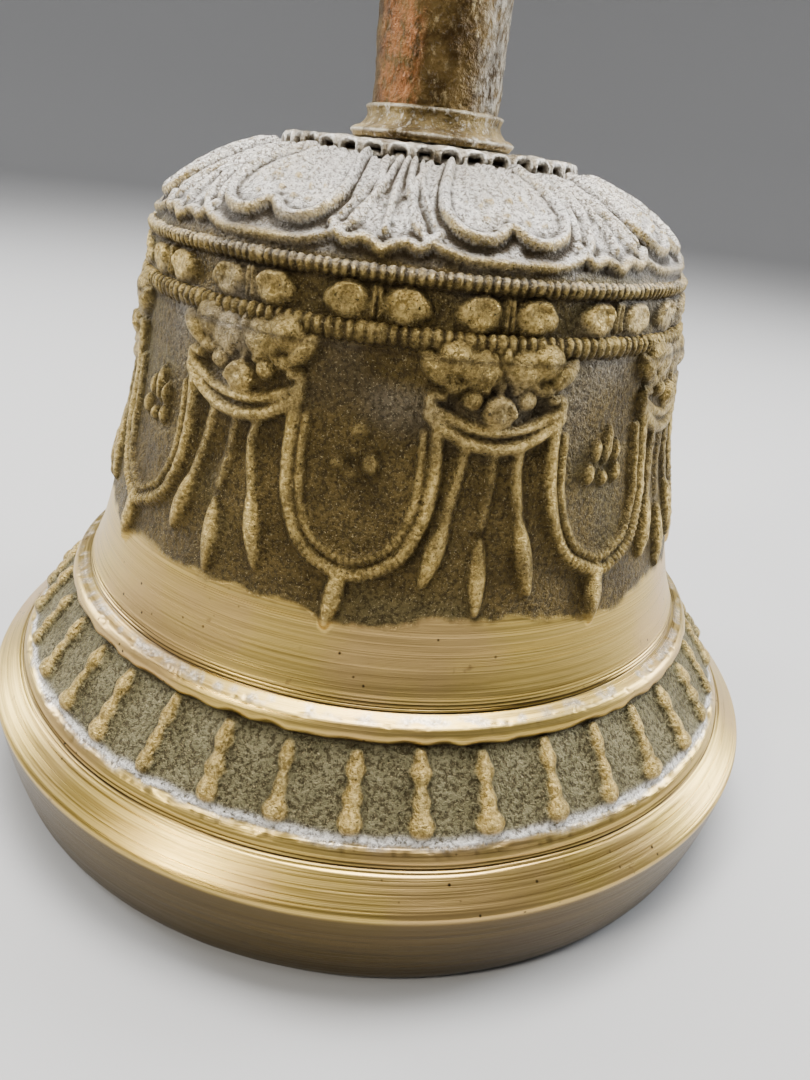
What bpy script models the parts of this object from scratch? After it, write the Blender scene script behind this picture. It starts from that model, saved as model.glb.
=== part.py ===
"""Ritual hand bell (ghanta): turned bronze bell, brass handle with a half vajra, free-swinging clapper.

Frame: metres, +Z up the handle, origin at the centre of the rim's flat underside.
"""
import math

import bmesh
import bpy
from mathutils import Matrix, Vector

MM = 0.001
COLLECTION = "ritual_hand_bell"
GAP = 0.3 * MM                      # clearance between pieces that touch on the real bell

# Driving sizes of the bell
RIM_RADIUS = 48.0 * MM              # at the rim's widest edge
RIM_EDGE_HEIGHT = 10.1 * MM
CROWN_TOP = 69.0 * MM
CROWN_INSIDE = 65.7 * MM
REST_INNER_RADIUS = 42.6 * MM       # the flat ring that the bell stands on
REST_OUTER_RADIUS = 45.8 * MM
BELL_SEGMENTS = 56
PIECE_SEGMENTS = 24
SMALL_SEGMENTS = 20

# The rod that clamps the handle to the bell
ROD_RADIUS = 2.0 * MM
ROD_HOLE_RADIUS = ROD_RADIUS + GAP
ROD_BOTTOM = 52.6 * MM
ROD_TOP = 143.4 * MM

# Handle heights, bottom to top
CROWN_RING_TOP = 70.9 * MM
CROWN_RING_RADIUS = 15.6 * MM
CROWN_BEADS = 40
TUBE_RADIUS = 6.8 * MM
TUBE_BORE_RADIUS = 4.7 * MM
TUBE_TOP = 104.0 * MM
LOWER_KNOP_TOP = 108.2 * MM
VASE_TOP = 122.0 * MM
UPPER_KNOP_TOP = 125.4 * MM
HUB_TOP = 136.8 * MM
HANDLE_TOP = 182.0 * MM

# Half vajra
PRONG_COUNT = 4
PRONG_ROOT_RADIUS = 6.0 * MM
PRONG_TIP_RADIUS = 2.9 * MM
PRONG_BULGE = 7.6 * MM
PRONG_TIP_HEIGHT = 177.0 * MM
PRONG_POINTS = 17

# Clapper and its hanger
PIVOT_HEIGHT = 47.5 * MM
PIN_RADIUS = 1.2 * MM
ARM_INNER = 4.0 * MM
ARM_OUTER = 6.0 * MM
ARM_HALF_WIDTH = 2.6 * MM
EYE_RADIUS = 3.6 * MM
EYE_HALF_WIDTH = 2.6 * MM
HEAD_RADIUS = 7.0 * MM
HEAD_HEIGHT = 12.4 * MM

BELL_BRONZE = ((0.30, 0.25, 0.15), 0.48, 1.0)
CROWN_BRONZE = ((0.42, 0.39, 0.32), 0.60, 1.0)
HANDLE_BRASS = ((0.45, 0.33, 0.17), 0.42, 1.0)
GILT_BRASS = ((0.55, 0.42, 0.20), 0.38, 1.0)
STEEL = ((0.46, 0.45, 0.43), 0.40, 1.0)
IRON = ((0.16, 0.14, 0.13), 0.60, 1.0)


# ---------- scene and materials ----------

def clear_scene():
    for obj in list(bpy.data.objects):
        bpy.data.objects.remove(obj, do_unlink=True)


def new_collection(name):
    collection = bpy.data.collections.new(name)
    bpy.context.scene.collection.children.link(collection)
    return collection


def make_material(name, look):
    colour, roughness, metallic = look
    material = bpy.data.materials.new(name)
    material.use_nodes = True
    shader = material.node_tree.nodes["Principled BSDF"]
    shader.inputs["Base Color"].default_value = (*colour, 1.0)
    shader.inputs["Roughness"].default_value = roughness
    shader.inputs["Metallic"].default_value = metallic
    material.diffuse_color = (*colour, 1.0)
    return material


def add_object(name, mesh, look, collection=None):
    obj = bpy.data.objects.new(name, mesh)
    (collection or parts).objects.link(obj)
    if look:
        mesh.materials.append(make_material(name, look))
    return obj


# ---------- shape helpers ----------

def mm(points):
    return [(radius * MM, height * MM) for radius, height in points]


def smooth_run(points, steps):
    """Catmull-Rom points through a run of outline points, both ends kept."""
    run = [Vector(point) for point in mm(points)]
    run = [2 * run[0] - run[1]] + run + [2 * run[-1] - run[-2]]
    out = []
    for index in range(1, len(run) - 2):
        before, start, end, after = run[index - 1:index + 3]
        for step in range(steps):
            t = step / steps
            out.append(0.5 * (2 * start + (end - before) * t
                              + (2 * before - 5 * start + 4 * end - after) * t * t
                              + (3 * start - before - 3 * end + after) * t ** 3))
    out.append(run[-2])
    return [tuple(point) for point in out]


def turned(name, outline, look, segments=PIECE_SEGMENTS, closed=False, collection=None):
    """A solid of revolution about Z: the outline runs down its outer side at +X."""
    mesh = bpy.data.meshes.new(name)
    verts = [(radius, 0.0, height) for radius, height in outline]
    edges = [(index, index + 1) for index in range(len(verts) - 1)]
    if closed:
        edges.append((len(verts) - 1, 0))
    mesh.from_pydata(verts, edges, [])
    obj = add_object(name, mesh, look, collection)
    screw = obj.modifiers.new("turn", "SCREW")
    screw.axis = "Z"
    screw.angle = math.tau
    screw.steps = segments
    screw.render_steps = segments
    screw.use_merge_vertices = True
    screw.merge_threshold = 0.00001
    screw.use_smooth_shade = True
    return obj


def baked(obj):
    """Applies the object's modifiers, so that its mesh can be cut or joined."""
    graph = bpy.context.evaluated_depsgraph_get()
    mesh = bpy.data.meshes.new_from_object(obj.evaluated_get(graph))
    obj.modifiers.clear()
    obj.data = mesh
    return obj


def boolean(obj, other, operation):
    modifier = obj.modifiers.new(operation.lower(), "BOOLEAN")
    modifier.operation = operation
    modifier.solver = "EXACT"
    modifier.object = other
    return obj


def cutter_object(name, fill):
    """A helper body for a Boolean, built by fill(bmesh)."""
    mesh = bpy.data.meshes.new(name)
    body = bmesh.new()
    fill(body)
    body.to_mesh(mesh)
    body.free()
    obj = add_object(name, mesh, None, cutters)
    obj.hide_render = True
    obj.display_type = "WIRE"
    return obj


def add_box(body, low, high):
    centre = (Vector(low) + Vector(high)) / 2
    size = Vector(high) - Vector(low)
    placed = Matrix.Translation(centre) @ Matrix.Diagonal((*size, 1.0))
    bmesh.ops.create_cube(body, size=1.0, matrix=placed)


def add_rod_along_x(body, radius, low_x, high_x, height, segments):
    placed = Matrix.Translation(((low_x + high_x) / 2, 0.0, height)) @ Matrix.Rotation(math.pi / 2, 4, "Y")
    bmesh.ops.create_cone(body, cap_ends=True, segments=segments, radius1=radius, radius2=radius,
                          depth=high_x - low_x, matrix=placed)


def bead_row(name, count, ring_radius, height, bead_radius):
    def fill(body):
        for index in range(count):
            angle = math.tau * (index + 0.5) / count
            place = Vector((ring_radius * math.cos(angle), ring_radius * math.sin(angle), height))
            placed = Matrix.Translation(place) @ Matrix.Rotation(angle, 4, "Z")
            bmesh.ops.create_icosphere(body, subdivisions=1, radius=bead_radius, matrix=placed)
    return cutter_object(name, fill)


# ---------- the bell ----------

def bell_outline():
    dome = smooth_run([(16.6, 69.0), (18.5, 68.75), (22.2, 67.3), (25.2, 65.5), (27.3, 63.7), (28.6, 61.9)], 1)
    upper_pearl_ring = mm([(29.0, 61.7), (29.3, 61.1), (29.2, 60.4), (28.8, 59.9)])
    band = mm([(28.9, 58.9), (29.1, 57.4)])
    lower_pearl_ring = mm([(29.9, 57.1), (30.2, 56.2), (30.2, 55.4), (29.8, 54.8)])
    wall = smooth_run([(29.8, 53.4), (30.3, 49.0), (31.1, 44.0), (32.4, 38.5), (33.8, 32.6), (35.4, 27.2),
                       (36.8, 23.7)], 1)
    torus_ring = mm([(37.8, 23.5), (38.5, 23.0), (38.9, 22.2), (38.9, 21.5), (38.4, 20.9)])
    skirt = smooth_run([(38.9, 20.2), (40.4, 18.4), (42.1, 16.4), (43.9, 14.1)], 1)
    step_ring = mm([(44.5, 13.7), (44.7, 13.2), (44.6, 12.7)])
    lip = mm([(45.2, 12.3), (46.9, 11.1), (47.8, 10.4)])
    lip_side = smooth_run([(48.0, 10.1), (48.0, 9.2), (47.5, 5.6), (46.5, 1.2)], 1)
    foot = [(REST_OUTER_RADIUS + 0.4 * MM, 0.3 * MM), (REST_OUTER_RADIUS, 0.0),
            (REST_INNER_RADIUS, 0.0), (REST_INNER_RADIUS - 0.4 * MM, 0.3 * MM)]
    inside = smooth_run([(41.7, 4.0), (41.2, 8.5), (40.0, 12.5), (37.9, 16.6), (35.6, 20.8), (33.8, 24.8),
                         (32.2, 29.5), (30.7, 34.5), (29.3, 39.6), (28.1, 45.0), (27.3, 50.0)], 1)
    vault = smooth_run([(26.9, 54.2), (26.2, 57.8), (24.6, 60.7), (21.8, 63.0), (17.6, 64.7), (12.8, 65.6)], 1)
    return ([(ROD_HOLE_RADIUS, CROWN_TOP)] + dome + upper_pearl_ring + band + lower_pearl_ring + wall
            + torus_ring + skirt + step_ring + lip + lip_side + foot + inside + vault
            + [(9.0 * MM, CROWN_INSIDE), (ROD_HOLE_RADIUS, CROWN_INSIDE)])


def build_bell():
    turned("bell_shell", bell_outline(), BELL_BRONZE, segments=BELL_SEGMENTS, closed=True)


# ---------- the handle ----------

def build_crown_ring():
    outline = [(CROWN_RING_RADIUS - 1.3 * MM, CROWN_RING_TOP), (CROWN_RING_RADIUS - 0.4 * MM, 70.8 * MM),
               (CROWN_RING_RADIUS, 70.3 * MM), (CROWN_RING_RADIUS, 69.9 * MM),
               (CROWN_RING_RADIUS - 1.3 * MM, CROWN_TOP + GAP),
               (ROD_HOLE_RADIUS, CROWN_TOP + GAP), (ROD_HOLE_RADIUS, CROWN_RING_TOP)]
    ring = baked(turned("crown_ring", outline, CROWN_BRONZE, segments=48, closed=True))
    boolean(ring, bead_row("crown_beads_helper", CROWN_BEADS, CROWN_RING_RADIUS - 0.2 * MM, 70.35 * MM,
                           0.75 * MM), "UNION")


def build_handle_collar():
    bore = TUBE_RADIUS + GAP
    base = CROWN_RING_TOP + GAP
    top = 74.4 * MM
    side = mm([(7.5, 74.4), (7.6, 74.1), (7.5, 73.7), (7.6, 73.2), (7.9, 72.7), (8.3, 72.3), (8.6, 72.0),
               (8.6, 71.6)])
    outline = [(bore, top)] + side + [(8.4 * MM, base), (bore, base)]
    turned("handle_collar", outline, HANDLE_BRASS, segments=28, closed=True)


def build_handle_tube():
    base = CROWN_RING_TOP + GAP
    side = smooth_run([(6.8, 103.6), (6.75, 95.0), (6.7, 86.0), (6.75, 77.0)], 1)
    outline = ([(TUBE_BORE_RADIUS, TUBE_TOP), (TUBE_RADIUS - 0.3 * MM, TUBE_TOP)] + side
               + [(TUBE_RADIUS, base), (TUBE_BORE_RADIUS, base)])
    turned("handle_tube", outline, HANDLE_BRASS, segments=28, closed=True)


def build_knop_ring(name, base, top, waist_radius, belly_radius, beads):
    """A turned ring with a row of beads round its belly."""
    middle = (base + top) / 2
    outline = [(ROD_HOLE_RADIUS, top), (waist_radius, top), (belly_radius - 0.7 * MM, middle + 0.9 * MM),
               (belly_radius - 0.7 * MM, middle - 0.9 * MM), (waist_radius, base), (ROD_HOLE_RADIUS, base)]
    ring = baked(turned(name, outline, GILT_BRASS, closed=True))
    boolean(ring, bead_row(name + "_beads_helper", beads, belly_radius - 0.7 * MM, middle, 0.8 * MM), "UNION")


def build_vase():
    base = LOWER_KNOP_TOP + GAP
    side = smooth_run([(6.0, 121.4), (5.9, 119.4), (8.2, 116.4), (9.4, 113.4), (8.4, 110.6), (6.6, 109.0)], 2)
    outline = [(ROD_HOLE_RADIUS, VASE_TOP), (6.4 * MM, VASE_TOP)] + side
    outline += [(6.4 * MM, base), (ROD_HOLE_RADIUS, base)]
    turned("handle_vase", outline, GILT_BRASS, closed=True)


def build_lotus_hub():
    base = UPPER_KNOP_TOP + GAP
    side = smooth_run([(8.9, 136.3), (9.9, 134.9), (8.4, 132.6), (7.1, 131.0), (8.6, 129.4), (9.8, 127.6),
                       (8.6, 126.2)], 2)
    outline = [(ROD_HOLE_RADIUS, HUB_TOP), (8.2 * MM, HUB_TOP)] + side
    outline += [(7.6 * MM, base), (ROD_HOLE_RADIUS, base)]
    turned("lotus_hub", outline, GILT_BRASS, closed=True)


def build_centre_prong():
    """The middle prong: its foot is bored and screws down on the rod like a nut."""
    base = HUB_TOP + GAP
    side = smooth_run([(1.0, 180.9), (1.6, 176.6), (1.9, 171.0), (3.0, 163.0), (3.4, 157.0), (2.6, 151.6),
                       (3.7, 149.6), (3.7, 147.8), (3.3, 146.4)], 2)
    outline = [(0.0, HANDLE_TOP)] + side + [(3.4 * MM, 143.0 * MM), (3.6 * MM, base)]
    outline += [(ROD_HOLE_RADIUS, base), (ROD_HOLE_RADIUS, ROD_TOP + GAP), (0.0, ROD_TOP + GAP)]
    turned("prong_centre", outline, GILT_BRASS, segments=SMALL_SEGMENTS)


def prong_route():
    """Radius, height and thickness up one outer prong, from its root to its tip."""
    root_height = HUB_TOP + GAP
    foot_height = root_height + 2.0 * MM
    yield PRONG_ROOT_RADIUS, root_height, 2.0 * MM
    for index in range(PRONG_POINTS):
        t = index / (PRONG_POINTS - 1)
        straight = PRONG_ROOT_RADIUS + (PRONG_TIP_RADIUS - PRONG_ROOT_RADIUS) * t
        bulge = PRONG_BULGE * math.sin(math.pi * t ** 0.85) ** 1.25
        height = foot_height + (PRONG_TIP_HEIGHT - foot_height) * t
        yield straight + bulge, height, (2.0 - 1.1 * t) * MM


def build_outer_prong(index):
    name = f"prong_outer_{index + 1}"
    curve = bpy.data.curves.new(name, "CURVE")
    curve.dimensions = "3D"
    curve.bevel_depth = 1.0
    curve.bevel_resolution = 2
    curve.use_fill_caps = True
    route = list(prong_route())
    spline = curve.splines.new("POLY")
    spline.points.add(len(route) - 1)
    for point, (radius, height, thickness) in zip(spline.points, route):
        point.co = (radius, 0.0, height, 1.0)
        point.radius = thickness
    obj = add_object(name, curve, GILT_BRASS)
    obj.rotation_euler.z = math.tau * (index + 0.5) / PRONG_COUNT


def build_through_rod():
    chamfer = 0.4 * MM
    outline = [(0.0, ROD_TOP), (ROD_RADIUS - chamfer, ROD_TOP), (ROD_RADIUS, ROD_TOP - chamfer),
               (ROD_RADIUS, ROD_BOTTOM + chamfer), (ROD_RADIUS - chamfer, ROD_BOTTOM), (0.0, ROD_BOTTOM)]
    turned("through_rod", outline, STEEL, segments=SMALL_SEGMENTS)


# ---------- fastenings inside the bell ----------

def build_inner_washer():
    outline = mm([(8.0, 65.4), (8.6, 65.1), (8.6, 64.4), (8.2, 64.0)])
    outline = [(ROD_HOLE_RADIUS, 65.4 * MM)] + outline + [(ROD_HOLE_RADIUS, 64.0 * MM)]
    turned("inner_washer", outline, HANDLE_BRASS, closed=True)


def build_clamp_nut():
    """The hexagon nut that pulls the handle and the bell together."""
    bottom, top, across_corners = 60.1 * MM, 63.7 * MM, 5.8 * MM
    outline = [(ROD_HOLE_RADIUS, top), (across_corners, top), (across_corners, bottom), (ROD_HOLE_RADIUS, bottom)]
    blank = baked(turned("clamp_nut", outline, STEEL, segments=SMALL_SEGMENTS, closed=True))

    def fill(body):
        placed = Matrix.Translation((0.0, 0.0, (bottom + top) / 2))
        bmesh.ops.create_cone(body, cap_ends=True, segments=6, radius1=across_corners, radius2=across_corners,
                              depth=2 * (top - bottom), matrix=placed)
    boolean(blank, cutter_object("hexagon_helper", fill), "INTERSECT")


def build_end_nut():
    outline = mm([(3.1, 56.1), (3.5, 55.8), (3.5, 53.9), (3.0, 53.4)])
    outline = [(ROD_HOLE_RADIUS, 56.1 * MM)] + outline + [(ROD_HOLE_RADIUS, 53.4 * MM)]
    turned("end_nut", outline, STEEL, segments=SMALL_SEGMENTS, closed=True)


def build_hanger():
    """The stirrup that turns on the rod and carries the clapper's pin."""
    bottom, top = 56.4 * MM, 59.8 * MM
    outline = [(ROD_HOLE_RADIUS, top), (ARM_OUTER - 0.5 * MM, top), (ARM_OUTER, top - 0.5 * MM),
               (ARM_OUTER, bottom), (ROD_HOLE_RADIUS, bottom)]
    hanger = baked(turned("hanger", outline, STEEL, segments=SMALL_SEGMENTS, closed=True))

    def fill_arms(body):
        for side in (-1, 1):
            low_x, high_x = sorted((side * ARM_INNER, side * ARM_OUTER))
            add_box(body, (low_x, -ARM_HALF_WIDTH, PIVOT_HEIGHT - 2.9 * MM), (high_x, ARM_HALF_WIDTH, 57.6 * MM))

    def fill_holes(body):
        add_rod_along_x(body, PIN_RADIUS + GAP, -8 * MM, 8 * MM, PIVOT_HEIGHT, 16)
    boolean(hanger, cutter_object("arms_helper", fill_arms), "UNION")
    boolean(hanger, cutter_object("pin_hole_helper", fill_holes), "DIFFERENCE")


def build_hanger_pin():
    head = PIN_RADIUS + 1.0 * MM
    end, seat = ARM_OUTER + 1.5 * MM, ARM_OUTER + GAP
    outline = [(0.0, end), (head - 0.5 * MM, end), (head, end - 0.4 * MM), (head, seat), (PIN_RADIUS, seat),
               (PIN_RADIUS, -seat), (head, -seat), (head, 0.4 * MM - end), (head - 0.5 * MM, -end), (0.0, -end)]
    pin = turned("hanger_pin", outline, STEEL, segments=16)
    pin.location.z = PIVOT_HEIGHT
    pin.rotation_euler.y = math.pi / 2


# ---------- the clapper, whose pieces hang from an empty on the pin's axis ----------

def clapper_pivot():
    pivot = bpy.data.objects.new("clapper_pivot", None)
    pivot.location.z = PIVOT_HEIGHT
    parts.objects.link(pivot)
    return pivot


def hang(obj, pivot):
    obj.parent = pivot
    obj.matrix_parent_inverse = Matrix.Translation((0.0, 0.0, -PIVOT_HEIGHT))
    return obj


def build_clapper_stem(pivot):
    """A forged eye with its shank, necked down where it passes through the head."""
    neck = 1.6 * MM
    outline = [(0.0, PIVOT_HEIGHT - 2.2 * MM), (1.8 * MM, PIVOT_HEIGHT - 2.2 * MM), (1.7 * MM, 40.0 * MM),
               (2.3 * MM, 22.0 * MM), (2.3 * MM, 19.4 * MM), (neck, 19.4 * MM), (neck, 4.3 * MM), (0.0, 4.3 * MM)]
    stem = baked(turned("clapper_stem", outline, IRON, segments=16))
    hang(stem, pivot)

    def fill_eye(body):
        add_rod_along_x(body, EYE_RADIUS, -EYE_HALF_WIDTH, EYE_HALF_WIDTH, PIVOT_HEIGHT, 24)

    def fill_hole(body):
        add_rod_along_x(body, PIN_RADIUS + GAP, -4 * MM, 4 * MM, PIVOT_HEIGHT, 16)
    boolean(stem, cutter_object("eye_helper", fill_eye), "UNION")
    boolean(stem, cutter_object("eye_hole_helper", fill_hole), "DIFFERENCE")


def build_clapper_head(pivot):
    bore = 1.9 * MM
    outline = [(bore, 19.1 * MM), (3.0 * MM, 19.1 * MM)]
    for step in range(1, 12):
        angle = math.pi * step / 12
        outline.append((HEAD_RADIUS * math.sin(angle) ** 0.9, HEAD_HEIGHT + HEAD_RADIUS * 0.94 * math.cos(angle)))
    outline += [(bore + 0.5 * MM, 5.75 * MM), (bore, 5.75 * MM)]
    hang(turned("clapper_head", outline, IRON, segments=24, closed=True), pivot)


def build_clapper_nut(pivot):
    outline = mm([(3.0, 5.4), (3.2, 5.1), (3.2, 4.3), (2.8, 4.0)])
    outline = [(1.9 * MM, 5.4 * MM)] + outline + [(1.9 * MM, 4.0 * MM)]
    hang(turned("clapper_nut", outline, STEEL, segments=16, closed=True), pivot)


clear_scene()
parts = new_collection(COLLECTION)
cutters = new_collection("helpers")
build_bell()
build_crown_ring()
build_handle_collar()
build_handle_tube()
build_knop_ring("knop_ring_lower", TUBE_TOP + GAP, LOWER_KNOP_TOP, 6.8 * MM, 9.2 * MM, 20)
build_vase()
build_knop_ring("knop_ring_upper", VASE_TOP + GAP, UPPER_KNOP_TOP, 6.4 * MM, 8.8 * MM, 20)
build_lotus_hub()
build_centre_prong()
for prong_index in range(PRONG_COUNT):
    build_outer_prong(prong_index)
build_through_rod()
build_inner_washer()
build_clamp_nut()
build_end_nut()
build_hanger()
build_hanger_pin()
clapper = clapper_pivot()
build_clapper_stem(clapper)
build_clapper_head(clapper)
build_clapper_nut(clapper)
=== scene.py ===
import math

import bpy
import numpy as np
from mathutils import Matrix, Vector


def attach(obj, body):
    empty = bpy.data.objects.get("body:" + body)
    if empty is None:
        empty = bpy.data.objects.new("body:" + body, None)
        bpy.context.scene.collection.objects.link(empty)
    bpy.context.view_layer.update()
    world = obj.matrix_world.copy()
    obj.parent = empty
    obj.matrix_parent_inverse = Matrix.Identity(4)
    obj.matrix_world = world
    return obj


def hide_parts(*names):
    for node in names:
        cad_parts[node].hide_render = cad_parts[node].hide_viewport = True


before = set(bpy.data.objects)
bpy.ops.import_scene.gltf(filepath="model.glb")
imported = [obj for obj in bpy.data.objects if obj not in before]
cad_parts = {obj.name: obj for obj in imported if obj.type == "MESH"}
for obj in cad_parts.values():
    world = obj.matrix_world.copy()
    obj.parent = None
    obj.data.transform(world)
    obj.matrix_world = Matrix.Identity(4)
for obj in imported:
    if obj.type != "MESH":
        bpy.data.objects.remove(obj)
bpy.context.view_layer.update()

MM = 0.001
RNG = np.random.default_rng(11)

# The camera: lens and sensor in millimetres, place in rim radii, turns in radians. The floor in metres
LENS = 27.0333
SENSOR = 36.0
CAMERA_BACK = 2.033
CAMERA_HEIGHT = 1.438
CAMERA_YAW, CAMERA_PITCH, CAMERA_ROLL = 0.023, 0.431, 0.119
FLOOR_DROP = -0.0002

# How often the ornament repeats, and where it sits in degrees from the viewer's side
FACES = 8
FACE_STEP = 360.0 / FACES
FACE_ANGLE = 16.3
SWAG_ANGLE = FACE_ANGLE + FACE_STEP / 2
BAND_LOBES = 16
SKIRT_BARS = 40
BAR_ANGLE = -1.3
CROWN_STEP = 9.0
CROWN_PIT_ANGLE = 7.0

# Heights and radii of the bell's zones, in millimetres
RIM_RADIUS = 48.0
LIP_EDGE = 9.9
SKIRT_FOOT = 14.3
BAR_LENGTH = 7.9
TORUS_FOOT = 21.3
PATINA_EDGE = 32.0
LOWER_PEARLS = 56.0
UPPER_PEARLS = 60.8
CORNER = 61.6
CROWN_RADIUS = 15.7
CROWN_PIT_HEIGHT = 69.95
ROD_BORE = 2.3
STEM_BORE = 1.9

# Points round the shell
LATHE_COLUMNS = 1280

# Notches along the swags' cords, and the petals' reach up the dome, in millimetres
NICK_PITCH = 0.58
NICKS_BELOW = 42.0
DOME_REACH = 14.5


# ---------------------------------------------------------------- camera, light, floor

def add_object(name, data):
    obj = bpy.data.objects.new(name, data)
    bpy.context.scene.collection.objects.link(obj)
    return obj


def make_camera():
    """Close, just above the shoulder's height, tipped down and rolled the way the photographer held it."""
    yaw, pitch, roll = CAMERA_YAW, CAMERA_PITCH, CAMERA_ROLL
    ahead = Vector((math.sin(yaw) * math.cos(pitch), math.cos(yaw) * math.cos(pitch), -math.sin(pitch)))
    level = Vector((math.cos(yaw), -math.sin(yaw), 0.0))
    upright = level.cross(ahead)
    right = math.cos(roll) * level + math.sin(roll) * upright
    up = -math.sin(roll) * level + math.cos(roll) * upright
    data = bpy.data.cameras.new("camera")
    data.sensor_width = SENSOR
    data.lens = LENS
    data.clip_start = 0.005
    camera = add_object("camera", data)
    turn = Matrix((right, up, -ahead)).transposed().to_4x4()
    rim = RIM_RADIUS * MM
    camera.matrix_world = Matrix.Translation((0.0, -CAMERA_BACK * rim, CAMERA_HEIGHT * rim)) @ turn
    bpy.context.scene.camera = camera


def add_light(name, place, aim, size, power, colour=(1.0, 1.0, 1.0)):
    data = bpy.data.lights.new(name, "AREA")
    data.shape = "RECTANGLE"
    data.size, data.size_y = size
    data.energy = power
    data.color = colour
    light = add_object(name, data)
    light.location = place
    light.rotation_euler = (Vector(aim) - Vector(place)).to_track_quat("-Z", "Y").to_euler()


def studio_bowl():
    """The pale floor, curving up into a low wall all round so that no horizon line shows."""
    sides, flat, bend, wall = 96, 1.3, 0.5, 2.2
    profile = [(flat * i / 6, 0.0) for i in range(1, 6)]
    profile += [(flat + bend * math.sin(a * math.pi / 24), bend - bend * math.cos(a * math.pi / 24))
                for a in range(13)]
    profile += [(flat + bend, wall)]
    points = [(0.0, 0.0, FLOOR_DROP)]
    for radius, height in profile:
        points += [(radius * math.cos(i * math.tau / sides), radius * math.sin(i * math.tau / sides),
                    height + FLOOR_DROP) for i in range(sides)]
    quads = [(0, 1 + i, 1 + (i + 1) % sides) for i in range(sides)]
    for ring in range(len(profile) - 1):
        base = 1 + ring * sides
        quads += [(base + i, base + i + sides, base + (i + 1) % sides + sides, base + (i + 1) % sides)
                  for i in range(sides)]
    mesh = bpy.data.meshes.new("floor")
    mesh.from_pydata(points, [], quads)
    mesh.polygons.foreach_set("use_smooth", [True] * len(mesh.polygons))
    return add_object("floor", mesh)


def make_studio():
    add_light("overhead", (0.02, 0.10, 0.50), (0.0, 0.0, 0.05), (0.34, 0.32), 8.2, (1.0, 0.97, 0.92))
    add_light("right_rear", (0.50, 0.16, 0.27), (0.0, 0.0, 0.10), (0.14, 0.34), 3.4, (0.94, 0.97, 1.0))
    add_light("left_rear", (-0.50, 0.18, 0.27), (0.0, 0.0, 0.10), (0.12, 0.32), 2.5, (0.95, 0.97, 1.0))
    add_light("front_left", (-0.34, -0.30, 0.40), (0.0, 0.0, 0.05), (0.09, 0.09), 2.0, (1.0, 0.94, 0.82))
    add_light("ceiling", (0.0, 0.1, 1.7), (0.0, 0.1, 0.0), (1.2, 1.2), 20.0)
    world = bpy.data.worlds.new("studio")
    world.use_nodes = True
    world.node_tree.nodes["Background"].inputs["Color"].default_value = (0.52, 0.51, 0.50, 1.0)
    world.node_tree.nodes["Background"].inputs["Strength"].default_value = 0.28
    bpy.context.scene.world = world
    floor = studio_bowl()
    material = bpy.data.materials.new("floor")
    material.use_nodes = True
    shader = material.node_tree.nodes["Principled BSDF"]
    shader.inputs["Base Color"].default_value = (0.40, 0.402, 0.41, 1.0)
    shader.inputs["Roughness"].default_value = 0.85
    floor.data.materials.append(material)


# ---------------------------------------------------------------- node materials

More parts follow.
